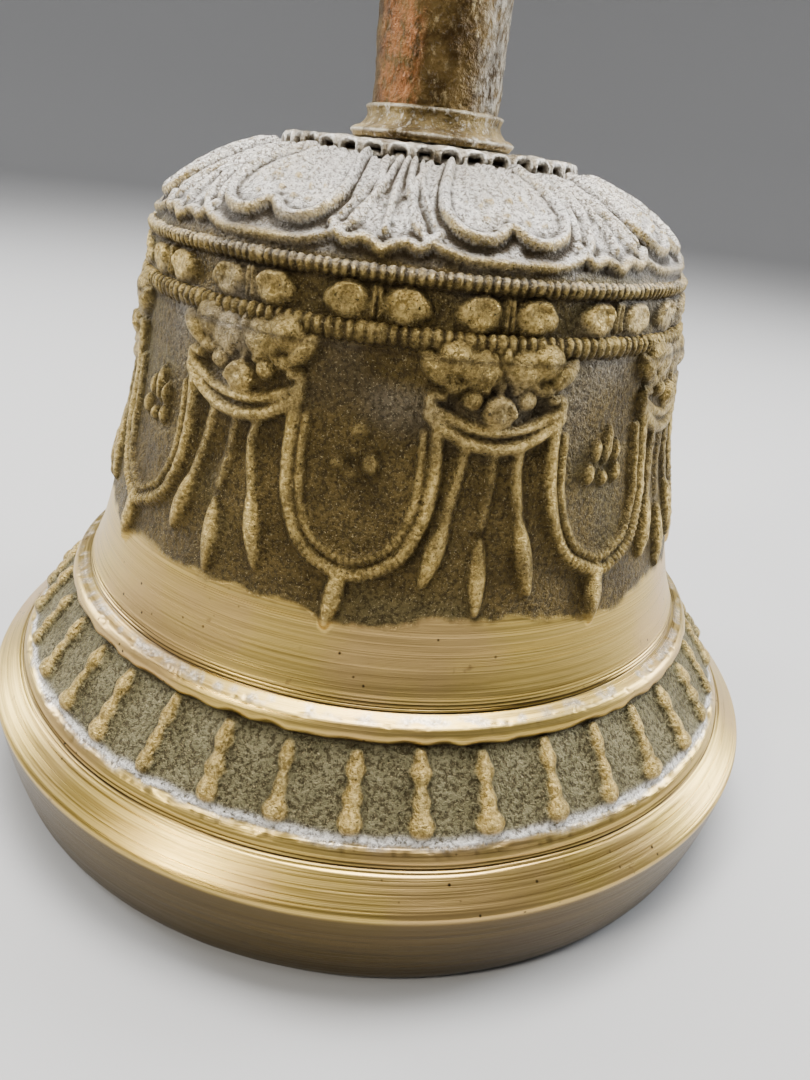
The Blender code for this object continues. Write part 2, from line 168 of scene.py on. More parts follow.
class Nodes:
    """A short way to wire a procedural material."""

    def __init__(self, name):
        self.material = bpy.data.materials.new(name)
        self.material.use_nodes = True
        self.tree = self.material.node_tree
        self.shader = self.tree.nodes["Principled BSDF"]
        self.place = self.add("ShaderNodeTexCoord").outputs["Object"]

    def add(self, kind, **settings):
        node = self.tree.nodes.new(kind)
        for key, value in settings.items():
            setattr(node, key, value)
        return node

    def link(self, source, target):
        self.tree.links.new(source, target)

    def feed(self, node, key, value):
        if isinstance(value, bpy.types.NodeSocket):
            self.link(value, node.inputs[key])
        else:
            node.inputs[key].default_value = value

    def attribute(self, name):
        return self.add("ShaderNodeAttribute", attribute_name=name).outputs["Fac"]

    def stretched(self, scale):
        node = self.add("ShaderNodeMapping")
        self.link(self.place, node.inputs["Vector"])
        node.inputs["Scale"].default_value = scale
        return node.outputs["Vector"]

    def noise(self, per_metre, detail=4.0, rough=0.55, vector=None):
        node = self.add("ShaderNodeTexNoise")
        self.link(vector or self.place, node.inputs["Vector"])
        node.inputs["Scale"].default_value = per_metre
        node.inputs["Detail"].default_value = detail
        node.inputs["Roughness"].default_value = rough
        return node.outputs["Fac"]

    def cells(self, per_metre):
        node = self.add("ShaderNodeTexVoronoi")
        self.link(self.place, node.inputs["Vector"])
        node.inputs["Scale"].default_value = per_metre
        return node.outputs["Distance"]

    def math(self, operation, a, b=0.0):
        node = self.add("ShaderNodeMath", operation=operation)
        self.feed(node, 0, a)
        self.feed(node, 1, b)
        return node.outputs[0]

    def times(self, a, b):
        return self.math("MULTIPLY", a, b)

    def ramp(self, value, low, high, out_low=0.0, out_high=1.0):
        node = self.add("ShaderNodeMapRange", interpolation_type="SMOOTHSTEP")
        self.feed(node, "Value", value)
        for key, number in (("From Min", low), ("From Max", high), ("To Min", out_low), ("To Max", out_high)):
            node.inputs[key].default_value = number
        return node.outputs["Result"]

    def mix(self, factor, a, b):
        node = self.add("ShaderNodeMix", data_type="RGBA")
        self.feed(node, "Factor", factor)
        for key, colour in ((6, a), (7, b)):
            value = colour if isinstance(colour, bpy.types.NodeSocket) else (*colour, 1.0)
            self.feed(node, key, value)
        return node.outputs[2]

    def blend_value(self, factor, a, b):
        node = self.add("ShaderNodeMix", data_type="FLOAT")
        self.feed(node, "Factor", factor)
        self.feed(node, 2, a)
        self.feed(node, 3, b)
        return node.outputs[0]

    def across(self):
        """The place from the bell's left to its right, in metres."""
        split = self.add("ShaderNodeSeparateXYZ")
        self.link(self.place, split.inputs[0])
        return split.outputs["X"]

    def bump(self, value, distance, strength=1.0, under=None):
        node = self.add("ShaderNodeBump")
        self.link(value, node.inputs["Height"])
        node.inputs["Distance"].default_value = distance
        self.feed(node, "Strength", strength)
        if under is not None:
            self.link(under, node.inputs["Normal"])
        return node.outputs["Normal"]

    def finish(self, colour, roughness, normal, metallic):
        self.link(colour, self.shader.inputs["Base Color"])
        self.link(roughness, self.shader.inputs["Roughness"])
        self.link(normal, self.shader.inputs["Normal"])
        self.feed(self.shader, "Metallic", metallic)
        return self.material


def bell_material():
    """Cast bronze: olive-brown patina, golden on high relief, pale dust in hollows, bright turned bands;
    painted shade with the dark patina in hollows, painted glints on the cast surface, a painted dark
    reflection on the lip's side.
    """
    n = Nodes("bell_bronze_detail")
    turned = n.attribute("turned")
    raised = n.attribute("raised")
    # This attribute: dark patina with painted shade in creases, pits and under rims.
    hollow_patina_and_shade = n.attribute("hollow_patina_and_shade")
    dust = n.attribute("dust")
    dome = n.attribute("dome")
    skirt = n.attribute("skirt")
    # This attribute marks the lip's side, which gets a painted dark reflection.
    lip_painted_reflection = n.attribute("lip_painted_reflection")
    broad = n.noise(55.0, 4.0)
    blotch = n.noise(260.0, 5.0, 0.6)
    sand = n.noise(2300.0, 3.0, 0.7)
    fine = n.noise(5200.0, 2.0, 0.7)
    # Painted glints: bright specks in the base colour standing in for tiny highlights.
    glint = n.ramp(fine, 0.60, 0.70)
    pinhole = n.ramp(n.noise(2900.0, 2.0, 0.6), 0.36, 0.29)
    rings = n.noise(1.0, 3.0, 0.7, n.stretched((18.0, 18.0, 9000.0)))
    wide_rings = n.noise(1.0, 2.0, 0.6, n.stretched((14.0, 14.0, 1700.0)))

    ground = n.mix(n.ramp(blotch, 0.35, 0.7), (0.084, 0.057, 0.016), (0.155, 0.108, 0.033))
    ground = n.mix(n.ramp(broad, 0.45, 0.65), ground, (0.125, 0.098, 0.038))
    skirt_ground = n.mix(n.ramp(blotch, 0.3, 0.7), (0.150, 0.135, 0.070), (0.235, 0.212, 0.118))
    ground = n.mix(skirt, ground, skirt_ground)
    ground = n.mix(n.ramp(sand, 0.56, 0.40, 0.0, 0.80), ground, (0.036, 0.025, 0.009))
    # Painted glints mixed into the ground colour.
    ground = n.mix(n.times(glint, 0.55), ground, (0.500, 0.410, 0.220))
    rubbed = n.mix(n.ramp(sand, 0.35, 0.65), (0.300, 0.210, 0.060), (0.700, 0.520, 0.190))
    patchy = n.ramp(n.math("ADD", blotch, n.times(broad, 0.6)), 0.48, 0.90, 0.18, 1.0)
    wear = n.times(raised, patchy)
    colour = n.mix(wear, ground, rubbed)
    etched = n.ramp(n.noise(2500.0, 3.0, 0.9), 0.51, 0.555)
    powder = n.mix(n.ramp(fine, 0.3, 0.7), (0.80, 0.76, 0.71), (1.0, 0.99, 0.97))
    dusted = n.mix(n.times(etched, 0.80), powder, (0.085, 0.064, 0.042))
    colour = n.mix(dome, colour, dusted)
    # Painted shade with dark patina in the hollows, held back where dust lies.
    colour = n.mix(n.times(hollow_patina_and_shade, n.math("SUBTRACT", 1.0, dust)), colour, (0.036, 0.024, 0.009))
    colour = n.mix(n.times(pinhole, 0.8), colour, (0.022, 0.015, 0.007))
    bright = n.mix(n.ramp(rings, 0.3, 0.7), (0.450, 0.300, 0.066), (0.710, 0.520, 0.160))
    bright = n.mix(n.ramp(broad, 0.46, 0.66, 0.0, 0.8), bright, (0.580, 0.385, 0.155))
    bright = n.mix(n.ramp(wide_rings, 0.60, 0.76, 0.0, 0.16), bright, (0.270, 0.172, 0.070))
    stains = n.ramp(n.noise(420.0, 3.0, 0.7), 0.66, 0.76)
    bright = n.mix(n.times(stains, 0.55), bright, (0.180, 0.105, 0.045))
    pits = n.ramp(n.cells(620.0), 0.05, 0.13, 1.0, 0.0)
    bright = n.mix(n.times(pits, n.ramp(broad, 0.5, 0.6)), bright, (0.050, 0.030, 0.015))
    # Painted dark reflection on the lip's side.
    painted_dark_reflection = n.mix(n.ramp(wide_rings, 0.3, 0.7), (0.050, 0.033, 0.012), (0.085, 0.057, 0.021))
    bright = n.mix(lip_painted_reflection, bright, painted_dark_reflection)
    # Turned grooves and hollows: dark patina with painted shade.
    bright = n.mix(hollow_patina_and_shade, bright, (0.060, 0.038, 0.016))
    colour = n.mix(turned, colour, bright)
    colour = n.mix(n.times(dust, n.ramp(sand, 0.25, 0.6)), colour, powder)
    eaten = n.ramp(n.noise(2400.0, 2.0, 0.7), 0.46, 0.52)
    colour = n.mix(n.times(n.times(dust, turned), eaten), colour, (0.060, 0.042, 0.022))

    rough_cast = n.blend_value(wear, n.ramp(blotch, 0.3, 0.7, 0.36, 0.52), 0.33)
    rough_cast = n.blend_value(dome, rough_cast, 0.36)
    rough_cast = n.blend_value(dust, rough_cast, 0.85)
    roughness = n.blend_value(turned, rough_cast, n.ramp(rings, 0.2, 0.8, 0.25, 0.40))
    metallic = n.blend_value(turned, n.blend_value(dome, n.blend_value(wear, 0.80, 0.97), 0.60), 1.0)
    metallic = n.times(metallic, n.math("SUBTRACT", 1.0, n.times(dust, 0.8)))

    cast = n.math("SUBTRACT", 1.0, turned)
    normal = n.bump(sand, 0.00062, n.times(cast, 0.9))
    normal = n.bump(fine, 0.00036, n.times(cast, n.blend_value(dome, 0.7, 1.0)), normal)
    normal = n.bump(rings, 0.00004, n.times(turned, 0.7), normal)
    normal = n.bump(wide_rings, 0.00006, n.times(turned, 0.3), normal)
    return n.finish(colour, roughness, normal, metallic)


def cast_brass_material(name, dark, mid, bright, dusty=0.3, copper_and_sheen=0.0):
    """Rough cast brass with hollows darkened by stain and painted shade, rubbed high spots and some pale
    dust; one setting adds a coppery streak and a painted sheen on the right.
    """
    n = Nodes(name)
    raised = n.attribute("raised")
    blotch = n.noise(330.0, 5.0, 0.62)
    grain = n.noise(2300.0, 3.0, 0.7)
    streak = n.noise(1.0, 4.0, 0.7, n.stretched((1400.0, 1400.0, 800.0)))
    colour = n.mix(n.ramp(blotch, 0.36, 0.64), dark, mid)
    colour = n.mix(n.times(n.ramp(streak, 0.54, 0.70), 0.6), colour, bright)
    colour = n.mix(n.times(raised, n.ramp(blotch, 0.3, 0.7)), colour, bright)
    left = n.times(n.ramp(n.across(), -0.0012, -0.0030), n.ramp(n.across(), -0.0068, -0.0052))
    reddened = n.times(n.times(n.ramp(streak, 0.35, 0.6), left), copper_and_sheen)
    colour = n.mix(reddened, colour, (0.33, 0.125, 0.042))
    # Painted sheen: a silvery reflection painted on the piece's right side, scaled with the coppery streak.
    painted_sheen_right = n.times(n.ramp(n.across(), 0.0028, 0.0060), n.ramp(streak, 0.38, 0.60))
    colour = n.mix(n.times(painted_sheen_right, copper_and_sheen), colour, (0.50, 0.46, 0.38))
    colour = n.mix(n.times(n.ramp(grain, 0.55, 0.72), dusty), colour, (0.62, 0.59, 0.54))
    # Hollows darkened: stain with painted shade.
    colour = n.mix(n.attribute("hollow_patina_and_shade"), colour, (0.035, 0.024, 0.014))
    roughness = n.ramp(blotch, 0.3, 0.7, 0.28, 0.48)
    normal = n.bump(grain, 0.00045, 0.9)
    normal = n.bump(streak, 0.00045, 0.7, normal)
    return n.finish(colour, roughness, normal, 0.95)


def steel_material(name, base, rust, roughness):
    n = Nodes(name)
    blotch = n.noise(420.0, 5.0, 0.6)
    grain = n.noise(3600.0, 3.0, 0.6)
    colour = n.mix(n.ramp(blotch, 0.4, 0.68), base, rust)
    colour = n.mix(n.times(n.ramp(grain, 0.5, 0.7), 0.4), colour, (0.62, 0.61, 0.58))
    normal = n.bump(grain, 0.00018, 0.6)
    return n.finish(colour, n.ramp(blotch, 0.3, 0.7, roughness, roughness + 0.2), normal, 0.9)


# ---------------------------------------------------------------- turned meshes

def smooth_run(points, steps):
    """Catmull-Rom points through a run of (radius, height) points, both ends kept."""
    run = np.array(points, float)
    run = np.vstack([2 * run[0] - run[1], run, 2 * run[-1] - run[-2]])
    t = (np.arange(steps) / steps)[:, None]
    out = []
    for before, start, end, after in zip(run, run[1:], run[2:], run[3:]):
        out.append(0.5 * (2 * start + (end - before) * t + (2 * before - 5 * start + 4 * end - after) * t ** 2
                          + (3 * start - before - 3 * end + after) * t ** 3))
    return np.vstack(out + [run[-2]])


def resample(outline, spacing):
    """Points along an outline, spacing(height, distance) apart."""
    outline = np.array(outline, float)
    steps = np.hypot(*np.diff(outline, axis=0).T)
    far = np.concatenate([[0.0], np.cumsum(steps)])
    at = [0.0]
    while at[-1] < far[-1]:
        height = np.interp(at[-1], far, outline[:, 1])
        at.append(at[-1] + spacing(height, at[-1]))
    at = np.array(at[:-1] + [far[-1]])
    return np.stack([np.interp(at, far, outline[:, 0]), np.interp(at, far, outline[:, 1])], 1), at


def outward(outline, closed=True):
    """Unit normals of an outline that runs down its outer side."""
    if closed:
        ahead = np.roll(outline, -1, 0) - np.roll(outline, 1, 0)
    else:
        ahead = np.gradient(outline, axis=0)
    normal = np.stack([-ahead[:, 1], ahead[:, 0]], 1)
    return normal / np.maximum(np.hypot(normal[:, 0], normal[:, 1]), 1e-9)[:, None]


def grid_mesh(name, points, material, closed=True, attributes=None):
    """A closed mesh from rows x columns of points in millimetres. Columns wrap; rows wrap or get end caps."""
    rows, columns = points.shape[:2]
    row = np.arange(rows if closed else rows - 1)
    column = np.arange(columns)
    below = (row + 1) % rows
    beside = (column + 1) % columns
    corners = np.stack([row[:, None] * columns + column, below[:, None] * columns + column,
                        below[:, None] * columns + beside, row[:, None] * columns + beside], -1).reshape(-1)
    starts = np.arange(0, corners.size, 4)
    u = np.stack([column, column, column + 1, column + 1], -1)[None] / columns
    share = np.arange(rows + 1) / rows
    v = 1.0 - np.stack([share[row], share[row + 1], share[row + 1], share[row]], -1)[:, None]
    uv = np.stack(np.broadcast_arrays(u, v), -1).reshape(-1, 2)
    if not closed:
        bottom = (rows - 1) * columns + column[::-1]
        starts = np.concatenate([starts, [corners.size, corners.size + columns]])
        corners = np.concatenate([corners, column, bottom])
        uv = np.vstack([uv, np.stack([column / columns, np.ones(columns)], 1),
                        np.stack([column[::-1] / columns, np.zeros(columns)], 1)])
    mesh = bpy.data.meshes.new(name)
    mesh.vertices.add(rows * columns)
    mesh.vertices.foreach_set("co", (points * MM).astype(np.float32).ravel())
    mesh.loops.add(corners.size)
    mesh.loops.foreach_set("vertex_index", corners.astype(np.int32))
    mesh.polygons.add(len(starts))
    mesh.polygons.foreach_set("loop_start", starts.astype(np.int32))
    mesh.update(calc_edges=True)
    mesh.shade_smooth()
    spread = mesh.uv_layers.new(name="OFBake")
    spread.data.foreach_set("uv", uv.astype(np.float32).ravel())
    for key, values in (attributes or {}).items():
        layer = mesh.attributes.new(key, "FLOAT", "POINT")
        layer.data.foreach_set("value", np.broadcast_to(values, (rows, columns)).astype(np.float32).ravel())
    obj = add_object(name, mesh)
    mesh.materials.append(material)
    return obj


def ring_mesh(name, radius, height, columns, material, closed=True, attributes=None):
    """A turned mesh from rows x columns arrays of radius and height."""
    angle = np.radians(np.arange(columns) * 360.0 / columns)[None, :]
    x, y = radius * np.sin(angle), -radius * np.cos(angle)
    points = np.stack(np.broadcast_arrays(x, y, height + 0 * angle), -1)
    return grid_mesh(name, points, material, closed, attributes)


def place(obj, body, slot, *nodes):
    """The piece moves with its body and stands for these CAD nodes; slot is not used."""
    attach(obj, body)
    if nodes:
        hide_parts(*nodes)
    return obj


def cloud(x, y, z, size, seed):
    """Smooth random values, -1 to 1, about size apart, on points in millimetres."""
    table = np.random.default_rng(seed).uniform(-1.0, 1.0, (32, 32, 32))
    total = 0.0
    cells, parts = [], []
    for axis in (x, y, z):
        scaled = np.asarray(axis) / size + 1000.0
        cell = np.floor(scaled).astype(int)
        part = scaled - cell
        cells.append(cell)
        parts.append(part * part * (3 - 2 * part))
    for corner in range(8):
        bits = (corner & 1, corner >> 1 & 1, corner >> 2)
        weight = 1.0
        for part, bit in zip(parts, bits):
            weight = weight * (part if bit else 1 - part)
        at = [(cell + bit) % 32 for cell, bit in zip(cells, bits)]
        total = total + weight * table[at[0], at[1], at[2]]
    return total


# ---------------------------------------------------------------- relief strokes, in millimetres

def blob(x, y, centre, size, tall, tilt=0.0, power=0.55):
    """A raised rounded lump."""
    c, s = math.cos(math.radians(tilt)), math.sin(math.radians(tilt))
    dx, dy = x - centre[0], y - centre[1]
    across, along = (c * dx + s * dy) / size[0], (c * dy - s * dx) / size[1]
    return tall * np.clip(1 - across ** 2 - along ** 2, 0, 1) ** power


def route(x, y, points):
    """Distance to a run of points, and how far along it the nearest place is."""
    near = np.full(x.shape, 1e9)
    travel = np.zeros(x.shape)
    done = 0.0
    for (ax, ay), (bx, by) in zip(points, points[1:]):
        length = math.hypot(bx - ax, by - ay) + 1e-9
        t = np.clip(((x - ax) * (bx - ax) + (y - ay) * (by - ay)) / length ** 2, 0, 1)
        d = np.hypot(x - ax - t * (bx - ax), y - ay - t * (by - ay))
        closer = d < near
        near = np.where(closer, d, near)
        travel = np.where(closer, done + t * length, travel)
        done += length
    return near, travel, done


def strand(x, y, points, half_width, tall, nicks=0.0, nicked_below=99.0, power=0.6):
    """A raised rope along a smooth line; nicks cuts shallow notches across its lower part."""
    line = smooth_run(points, 5) if len(points) > 2 else points
    near, travel, _ = route(x, y, line)
    body = np.clip(1 - (near / half_width) ** 2, 0, 1) ** power
    if nicks:
        depth = 0.38 * smoothstep(nicked_below - y, 0.0, 2.0)
        body = body * (1 - depth * np.abs(np.sin(math.pi * travel / nicks)) ** 3)
    return tall * body


def panel(x, y, outline, tall, edge):
    """A raised flat field inside a closed outline, whose edge slopes over a short way."""
    corners = np.array(outline)
    inside = np.zeros(x.shape, bool)
    for (ax, ay), (bx, by) in zip(corners, np.roll(corners, -1, 0)):
        crosses = (ay > y) != (by > y)
        inside ^= crosses & (x < (bx - ax) * (y - ay) / (by - ay + 1e-12) + ax)
    near, _, _ = route(x, y, list(outline) + [outline[0]])
    return tall * np.where(inside, smoothstep(near, 0.0, edge), 0.0)


def spindle(x, y, start, end, half_width, tall):
    """A pendant that swells from a thin neck and tapers to a blunt point."""
    near, travel, whole = route(x, y, [start, end])
    t = travel / whole
    width = half_width * (0.35 + 0.65 * np.sin(math.pi * np.clip(t * 0.86 + 0.09, 0, 1)) ** 0.8)
    return tall * (width / half_width) ** 0.7 * np.clip(1 - (near / width) ** 2, 0, 1) ** 0.55


def mirrored(points):
    return [(-px, py) for px, py in points]


def twin(x, y, points, half_width, tall):
    """The same strand on both sides of the middle."""
    return [strand(x, y, [(side * px, py) for px, py in points], half_width, tall) for side in (-1, 1)]


def guardian_face(x, y):
    """The band's monster mask: brows, horns, eyes, nose and a wide mouth that holds the swags."""
    lumps = []
    for side in (-1, 1):
        j = wobble(6)
        lumps.append(blob(x, y, (side * 2.0 + j[0], 54.2 + j[1]), (2.25, 2.0), 1.15, power=0.65))
        lumps.append(blob(x, y, (side * 4.1 + j[2], 54.9 + j[1]), (2.0, 1.8), 1.30, power=0.65))
        lumps.append(blob(x, y, (side * 6.0, 53.8 + j[3]), (1.0, 2.0), 1.40, tilt=-side * 42, power=0.65))
        lumps.append(blob(x, y, (side * 4.3, 52.5), (1.0, 0.8), 0.90))
        lumps.append(blob(x, y, (side * 2.5, 51.55 + j[4] * 0.5), (1.05, 0.95), 1.15))
        lumps.append(strand(x, y, [(side * 1.3, 52.3), (side * 2.6, 53.0), (side * 3.9, 52.2)], 0.42, 0.80))
    lumps.append(blob(x, y, (0.0, 50.4), (1.65, 1.5), 1.50, power=0.6))
    nose = [(-1.2, 50.4), (-0.8, 51.2), (0.0, 51.55), (0.8, 51.2), (1.2, 50.4)]
    lumps.append(strand(x, y, nose, 0.45, 1.55))
    lumps.append(blob(x, y, (0.1, 55.1), (0.55, 1.2), 0.95))
    lumps.append(blob(x, y, (0.0, 52.7), (0.6, 0.9), 0.55))
    lumps.append(blob(x, y, (0.0, 49.8), (4.6, 1.9), 0.35, power=1.0))
    upper = [(2.4, 49.1), (4.0, 49.7), (5.4, 50.4), (6.2, 51.0), (6.0, 51.7), (5.1, 51.6)]
    lower = [(2.4, 47.7), (4.0, 48.4), (5.3, 49.3), (6.1, 50.0), (6.0, 50.6)]
    lumps.append(strand(x, y, mirrored(upper)[::-1] + [(0.0, 48.75)] + upper, 0.56, 0.98))
    lumps.append(strand(x, y, mirrored(lower)[::-1] + [(0.0, 47.35)] + lower, 0.74, 1.00))
    return np.maximum.reduce(lumps)


def tassels(x, y):
    """Three cords that fall from the mask's chin, each ending in a pendant."""
    j = wobble(6) * 1.6
    cords = [strand(x, y, [(-2.6, 47.4), (-3.2 + j[0], 44.0), (-4.2, 40.2)], 0.70, 0.62, power=0.7),
             strand(x, y, [(0.0, 47.0), (-0.3 + j[1], 43.5), (-0.8, 40.4)], 0.66, 0.50, power=0.7),
             strand(x, y, [(2.4, 47.4), (2.2 + j[2], 44.6), (3.0, 40.4)], 0.66, 0.70, power=0.7),
             spindle(x, y, (-4.1, 40.4), (-5.9 + j[3], 35.1), 0.98, 1.10),
             spindle(x, y, (-0.8, 38.9), (-1.0 + j[4], 32.6), 0.95, 1.05),
             spindle(x, y, (2.9, 40.6), (4.3 + j[5], 34.3), 1.0, 1.15)]
    return np.maximum.reduce(cords)


def swag(x, y):
    """A double cord that hangs in a U between two masks, with a pendant below."""
    j = wobble(5)
    outer = [(1.7, 35.6), (4.4 + j[0], 37.3), (6.1, 40.6), (6.5, 44.6), (6.3, 49.3)]
    inner = [(1.5, 36.9), (3.7 + j[1], 38.3), (5.0, 41.3), (5.3, 44.8), (5.15, 48.4)]
    outer = mirrored(outer)[::-1] + [(0.0, 35.2 + j[2])] + outer
    inner = mirrored(inner)[::-1] + [(0.0, 36.45 + j[2])] + inner
    return np.maximum.reduce([
        strand(x, y, outer, 0.76, 0.92, NICK_PITCH, NICKS_BELOW, power=0.7),
        strand(x, y, inner, 0.56, 0.72, NICK_PITCH, NICKS_BELOW, power=0.7),
        spindle(x, y, (-0.5, 35.6), (-1.3 + j[3], 30.6), 1.02, 1.10)])


def lozenge_emblem(x, y):
    """Upright petals in a cluster, inside a swag."""
    spots = [(0.5, 47.2, 0.66, 2.0), (-0.95, 46.7, 0.55, 1.2), (1.8, 46.5, 0.5, 1.2),
             (-1.9, 44.6, 0.6, 1.2), (0.0, 44.1, 0.55, 0.8), (1.9, 44.5, 0.55, 1.15)]
    return np.maximum.reduce([blob(x, y, (cx, cy), (w, h), 0.85, tilt=-8) for cx, cy, w, h in spots])


def lump_emblem(x, y):
    """A worn flower of low lumps, inside a swag."""
    spots = [(-0.4, 48.0, 1.1, 1.0, 0.50), (1.0, 45.1, 0.95, 1.05, 0.85), (-2.1, 44.9, 1.0, 0.8, 0.5),
             (-0.6, 44.0, 1.0, 0.7, 0.42), (-0.6, 46.2, 0.9, 0.7, 0.38), (1.6, 47.0, 0.7, 0.7, 0.32)]
    return np.maximum.reduce([blob(x, y, (cx, cy), (w, h), tall) for cx, cy, w, h, tall in spots])


def band_lobes(x, y):
    """A flattened vajra on the upper band: two hooded lobes either side of a pinched middle."""
    lumps = twin(x, y, [(0.30, 57.4), (0.22, 59.8)], 0.26, 0.70)
    for side in (-1, 1):
        j = wobble(6)
        middle = (side * 2.40 + j[0] * 0.8, 58.45 + j[1] * 0.4)
        lumps.append(blob(x, y, middle, (2.15, 1.65), 0.92, power=0.6))
        outside = (middle[0] + side * 1.0, 58.5 + j[4])
        lumps.append(blob(x, y, outside, (1.4, 1.1), 1.05, tilt=-side * 28, power=0.6))
        lumps.append(blob(x, y, (middle[0] - side * 0.9, 58.7 + j[5]), (0.9, 0.9), 1.15, power=0.7))
        lumps.append(blob(x, y, (middle[0], 57.7), (1.3, 0.8), 1.00, power=0.7))
        hood = [(middle[0] - 1.35, 58.8), (middle[0] - 0.8, 59.45), (middle[0] + 0.1, 59.7 + j[2]),
                (middle[0] + 0.9, 59.5), (middle[0] + 1.4, 58.8)]
        lumps.append(strand(x, y, hood, 0.36, 1.15 + j[3]))
    return np.maximum.reduce(lumps)


def skirt_bar(x, y, length):
    """A small standing vajra: a rod with two knobs and a broad foot; y runs up from the foot."""
    j = wobble(6)
    t = y / length
    foot = 1.0 + j[0] * 2.2
    knob = 0.80 + j[1] * 1.2
    width = (0.52 + (knob - 0.5) * hump(t - 0.74 + j[2] * 0.2, 0.09)
             + (0.22 + j[4]) * hump(t - 0.40, 0.08)
             + (foot - 0.5) * hump(t - 0.13, 0.13))
    sway = x - j[3] * 2.0 * (t - 0.5)
    width = width * (1.26 + 0.9 * j[4])
    body = np.clip(1 - (sway / width) ** 2, 0, 1) ** 0.6
    ends = np.clip((t + 0.03) / 0.10, 0, 1) * np.clip((1.0 + j[5] * 0.4 - t) / 0.12, 0, 1)
    waist = 1 - 0.30 * hump(t - 0.57, 0.03) - 0.18 * hump(t - 0.27, 0.03)
    return (0.62 + 0.42 * width) * body * np.sqrt(np.clip(ends, 0, 1)) * waist


def front_petal(x, y):
    """A lotus petal on the dome: a bordered leaf with a raised heart-shaped field inside it; y runs up."""
    j = wobble(4)
    edge = [(1.6, 0.9), (4.6, 1.1), (7.3, 2.4), (8.6, 4.9), (8.5, 8.6), (7.2, 12.0), (6.0, 15.0)]
    heart = [(0.4, 3.9), (1.5, 2.9), (3.2, 2.7), (4.9, 3.7), (5.8, 5.9), (5.6, 8.6), (4.6, 12.0), (3.6, 15.0)]
    rim = smooth_run(mirrored(edge)[::-1] + edge, 4)
    inner = smooth_run(mirrored(heart)[::-1] + heart, 4)
    lines = [panel(x, y, rim, 0.30, 0.3), strand(x, y, [tuple(p) for p in rim], 0.50, 0.80),
             panel(x, y, inner, 0.62, 0.4), strand(x, y, [tuple(p) for p in inner], 0.62, 1.40)]
    ribs = twin(x, y, [(0.7, DOME_REACH), (1.6 + j[0], 9.0), (2.6, 6.2)], 0.34, 1.05)
    ribs += twin(x, y, [(2.2, DOME_REACH), (3.1 + j[1], 10.0), (3.9, 6.5)], 0.30, 1.00)
    ribs += twin(x, y, [(4.7, DOME_REACH), (6.3, 10.0), (7.1, 5.2)], 0.30, 0.62)
    ribs.append(strand(x, y, [(j[2], DOME_REACH), (0.2, 11.0), (0.0, 8.6)], 0.30, 1.00))
    dots = [blob(x, y, spot, (0.6, 0.55), 1.15) for spot in
            ((-2.2 + j[1], 4.9), (-0.2, 5.6 + j[2]), (1.6, 4.8), (3.2, 4.7), (0.4 + j[3], 7.4), (-1.5, 7.1))]
    return np.maximum.reduce(lines + ribs + dots)


def back_petal(x, y):
    """The tip of a petal that shows between two front ones."""
    tip = [(4.4, 2.8), (3.2, 1.5), (1.7, 1.8), (0.0, 1.0)]
    sides = [(-2.6, 9.0), (-1.8, 15.0), (1.8, 15.0), (2.6, 9.0)]
    field = smooth_run(tip + mirrored(tip)[::-1][1:] + sides, 3)
    ribs = twin(x, y, [(0.8, DOME_REACH), (1.3, 8.0), (2.9, 3.2)], 0.44, 1.00)
    ribs += twin(x, y, [(1.7, DOME_REACH), (2.4, 9.0), (4.0, 3.6)], 0.32, 0.80)
    return np.maximum.reduce([panel(x, y, field, 0.30, 0.4), strand(x, y, tip, 0.58, 0.90),
                              strand(x, y, mirrored(tip), 0.58, 0.90),
                              strand(x, y, [(0.0, DOME_REACH), (0.0, 7.0), (0.0, 2.6)], 0.42, 0.95)] + ribs)


# ---------------------------------------------------------------- the bell's shell

def bell_outline():
    """The shell's closed outline in millimetres, down the outside and up the inside."""
    crown = [(ROD_BORE, 69.0), (10.0, 69.0), (16.4, 69.0)]
    dome = smooth_run([(17.0, 68.98), (18.6, 68.75), (22.2, 67.3), (25.2, 65.5), (27.3, 63.7),
                       (28.4, 62.2)], 10)
    band = smooth_run([(28.75, 61.5), (28.85, 60.8), (28.75, 59.9), (28.95, 58.0), (29.35, 56.6)], 8)
    wall = smooth_run([(29.6, 55.6), (29.8, 53.4), (30.3, 49.0), (31.1, 44.0), (32.4, 38.5), (33.8, 32.6),
                       (35.3, 27.2), (36.6, 24.1)], 12)
    torus = smooth_run([(36.95, 23.45), (37.5, 23.2), (38.2, 22.9), (38.65, 22.35), (38.7, 21.8),
                        (38.45, 21.35), (38.15, 21.15)], 8)
    skirt = smooth_run([(38.5, 20.75), (40.4, 18.5), (42.1, 16.4), (43.5, 14.55)], 10)
    step = smooth_run([(43.75, 14.25), (44.15, 13.95), (44.5, 13.45), (44.7, 13.0), (44.95, 12.6)], 6)
    bevel = [(45.2, 12.4), (46.2, 11.6), (47.2, 10.8), (47.8, 10.32)]
    side = smooth_run([(47.97, 10.1), (48.0, 9.85), (47.92, 9.0), (47.6, 6.6), (47.1, 3.8), (46.45, 1.1),
                       (46.1, 0.35), (45.7, 0.02)], 8)
    foot = [(44.2, 0.0), (42.7, 0.02)]
    inside = smooth_run([(42.3, 0.4), (41.8, 4.0), (41.3, 8.5), (40.1, 12.5), (38.0, 16.6), (35.7, 20.8),
                         (33.9, 24.8), (32.3, 29.5), (30.8, 34.5), (29.4, 39.6), (28.2, 45.0), (27.4, 50.0),
                         (27.0, 54.2), (26.3, 57.8), (24.7, 60.7), (21.8, 63.1), (17.6, 64.8),
                         (12.8, 65.65)], 3)
    vault = [(9.0, 65.75), (5.0, 65.75), (ROD_BORE, 65.75)]
    outer = np.vstack([crown, dome, band, wall, torus, skirt, step, bevel, side])
    return outer, np.vstack([foot, inside, vault])


def row_spacing(height, distance):
    if 12.2 < height < 14.6 or 22.6 < height < 24.9 or 9.6 < height < 10.6:
        return 0.11
    return 0.22 if distance > 14.0 else 0.9


